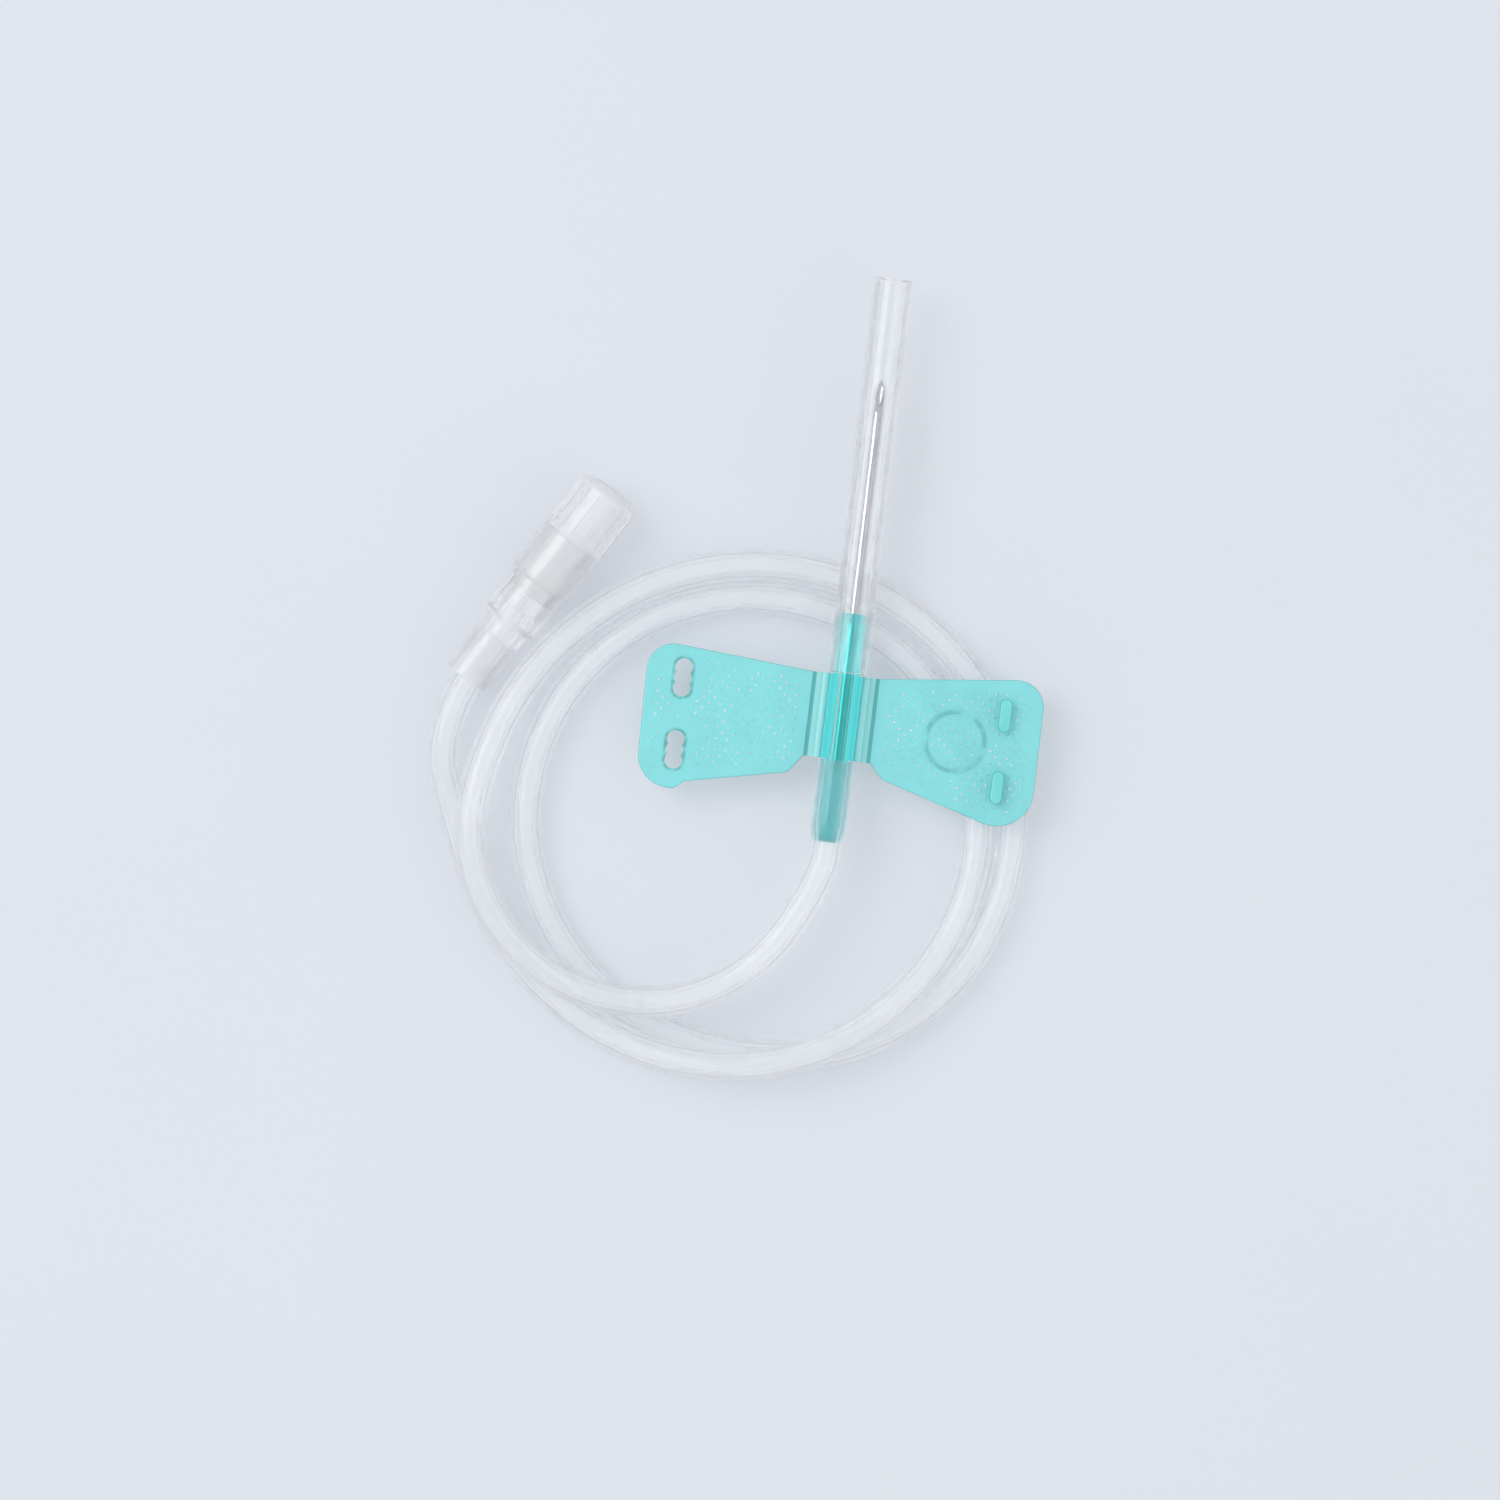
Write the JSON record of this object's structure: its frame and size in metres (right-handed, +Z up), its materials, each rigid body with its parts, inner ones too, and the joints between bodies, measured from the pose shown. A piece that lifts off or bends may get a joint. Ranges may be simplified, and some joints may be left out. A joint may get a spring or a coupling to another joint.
{
  "type": "butterfly needle",
  "caption": "Winged steel needle under a clear sheath, with translucent teal folding wings, coiled clear tubing and a capped female connector.",
  "frame": {"origin": "on the needle's axis, at the front of the hub's nose where the needle comes out", "axes": "+Y along the needle to its tip, +X to the wing with the pegs, +Z up, away from the flat underside of the wings"},
  "size_m": [0.0497, 0.066, 0.0059],
  "materials": {
    "cannula": "bright drawn steel",
    "hub": "translucent teal moulding",
    "wings": "translucent teal moulding with fine cross-hatching",
    "sheath": "clear plastic",
    "tubing": "clear soft plastic, slightly milky",
    "connector": "clear plastic",
    "cap": "clear frosted plastic"
  },
  "bodies": {
    "hub": {"wing_hub": "hub", "needle": "cannula", "tubing": "tubing", "luer_connector": "connector"},
    "left_wing": {"left_wing": "wings"},
    "right_wing": {"right_wing": "wings"},
    "sheath": {"needle_sheath": "sheath"},
    "cap": {"luer_cap": "cap"}
  },
  "joints": [
    {"name": "left_wing_fold", "type": "hinge", "parent": "hub", "child": "left_wing", "pos_m": [-0.00255, -0.00838, -0.00075], "axis": [0, 1, 0], "range_deg": [0, 100], "stiffness_Nm_per_rad": 0.0002},
    {"name": "right_wing_fold", "type": "hinge", "parent": "hub", "child": "right_wing", "pos_m": [0.00255, -0.00838, -0.00075], "axis": [0, -1, 0], "range_deg": [0, 100], "stiffness_Nm_per_rad": 0.0002},
    {"name": "sheath_slide", "type": "slide", "parent": "hub", "child": "sheath", "axis": [0, 1, 0], "range_m": [0, 0.026]},
    {"name": "cap_pull", "type": "slide", "parent": "hub", "child": "cap", "axis": [0.5212, 0.8505, 0.0713], "range_m": [0, 0.008]}
  ]
}
